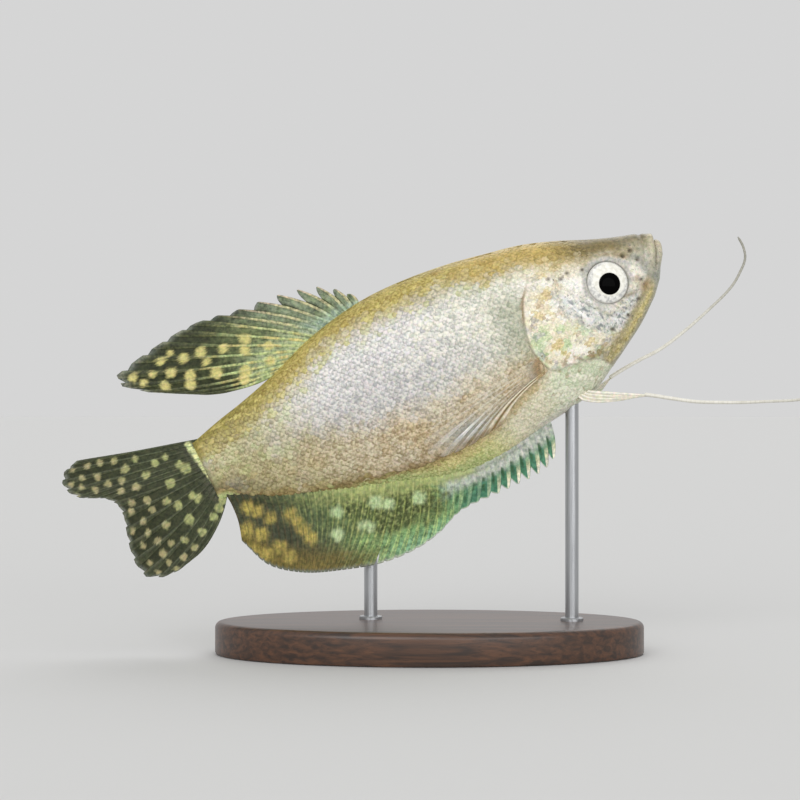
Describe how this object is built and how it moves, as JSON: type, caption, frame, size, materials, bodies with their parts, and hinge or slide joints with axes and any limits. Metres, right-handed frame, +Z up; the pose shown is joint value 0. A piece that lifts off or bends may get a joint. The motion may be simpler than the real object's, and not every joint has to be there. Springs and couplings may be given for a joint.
{
  "type": "gourami display model",
  "caption": "Life-size display model of a three spot gourami swimming nose-up, fins spread and thread-like pelvic fins trailing forward, held on short rods over an oval base.",
  "frame": {"origin": "centre of the underside of the base", "axes": "+X towards the fish's head, +Y towards the fish's left side, +Z up, away from the base"},
  "size_m": [0.145, 0.046, 0.0788],
  "materials": {
    "silver_skin": "satin, wet look, as a painted cast",
    "fin_membrane": "satin, partly see-through",
    "pectoral_membrane": "satin, see-through",
    "pelvic_ray": "satin",
    "eye": "polished",
    "stained_wood": "satin varnish",
    "brushed_steel": "brushed"
  },
  "bodies": {
    "root": {"head": "silver_skin", "trunk": "silver_skin", "tail_stem": "silver_skin", "eye_right": "eye", "eye_left": "eye", "dorsal_fin": "fin_membrane", "anal_fin": "fin_membrane", "caudal_fin_upper": "fin_membrane", "caudal_fin_lower": "fin_membrane", "pectoral_fin_right": "pectoral_membrane", "pectoral_fin_left": "pectoral_membrane", "pelvic_fin_right": "pelvic_ray", "pelvic_fin_left": "pelvic_ray", "pelvic_thread_right_1": "pelvic_ray", "pelvic_thread_right_2": "pelvic_ray", "pelvic_thread_left_1": "pelvic_ray", "pelvic_thread_left_2": "pelvic_ray", "stand_base": "stained_wood", "stand_rod_front": "brushed_steel", "stand_rod_rear": "brushed_steel"}
  },
  "joints": []
}
